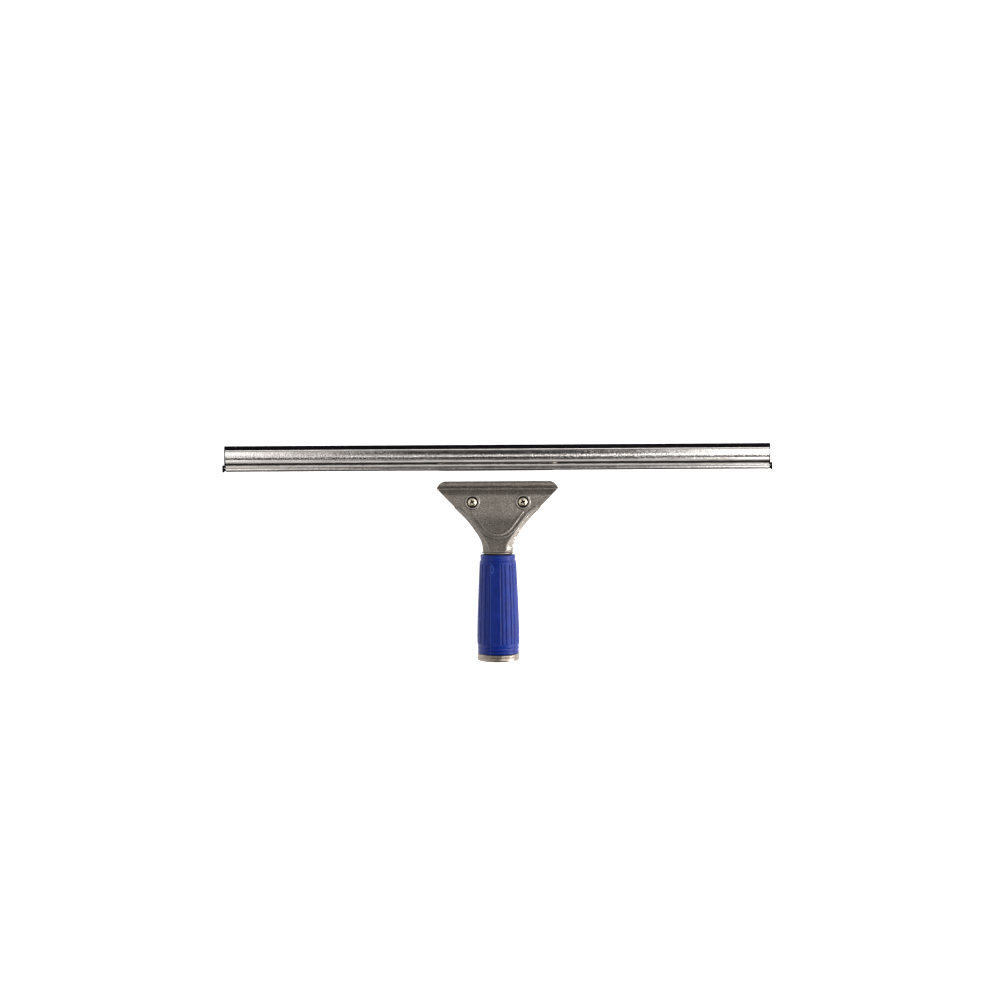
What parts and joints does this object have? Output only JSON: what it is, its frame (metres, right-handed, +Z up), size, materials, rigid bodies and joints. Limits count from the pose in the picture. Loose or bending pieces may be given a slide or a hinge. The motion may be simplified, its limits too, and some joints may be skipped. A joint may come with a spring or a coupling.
{
  "type": "window squeegee",
  "caption": "Hand squeegee for windows: cast metal head with a screw-down jaw, blue rubber grip, and a long steel channel holding a black rubber blade.",
  "frame": {"origin": "middle of the outer box in X and Y, at the height of the surface that the squeegee lies on", "axes": "+X along the wiping bar, +Y from the grip towards the wiping edge, +Z up, out of the face with the clamp screws"},
  "size_m": [0.456, 0.1776, 0.0357],
  "materials": {
    "cast_metal": "as cast, fine grain, worn brighter on the edges",
    "stainless": "bright rolled, with fine scratches along the bar",
    "screw_steel": "nickel plated",
    "collar_metal": "turned, satin",
    "blade_rubber": "smooth, matt",
    "grip_rubber": "moulded, fluted, satin"
  },
  "bodies": {
    "handle": {"head_casting": "cast_metal", "shank_tube": "collar_metal", "top_ring": "collar_metal", "grip_sleeve": "grip_rubber", "end_collar": "collar_metal"},
    "bar": {"channel": "stainless", "rubber_blade": "blade_rubber", "end_clip_left": "blade_rubber", "end_clip_right": "blade_rubber"},
    "clamp": {"clamp_plate": "cast_metal", "spring_washer_left": "screw_steel", "spring_washer_right": "screw_steel"},
    "left_screw": {"clamp_screw_left": "screw_steel"},
    "right_screw": {"clamp_screw_right": "screw_steel"}
  },
  "joints": [
    {"name": "bar_slide", "type": "slide", "parent": "handle", "child": "bar", "axis": [0, 1, 0], "range_m": [-0.0141, 0]},
    {"name": "clamp_close", "type": "slide", "parent": "handle", "child": "clamp", "axis": [0, 0, 1], "range_m": [-0.0015, 0]},
    {"name": "left_screw_turn", "type": "hinge", "parent": "clamp", "child": "left_screw", "pos_m": [-0.0209, 0.04106, 0.0126], "axis": [0, 0, 1], "range_deg": [-771.43, 0]},
    {"name": "right_screw_turn", "type": "hinge", "parent": "clamp", "child": "right_screw", "pos_m": [0.0209, 0.04106, 0.0126], "axis": [0, 0, 1], "range_deg": [-771.43, 0]}
  ],
  "couplings": [
    {"joint": "left_screw_turn", "follows": "clamp_close", "rad_per_m": 8976},
    {"joint": "right_screw_turn", "follows": "clamp_close", "rad_per_m": 8976}
  ]
}
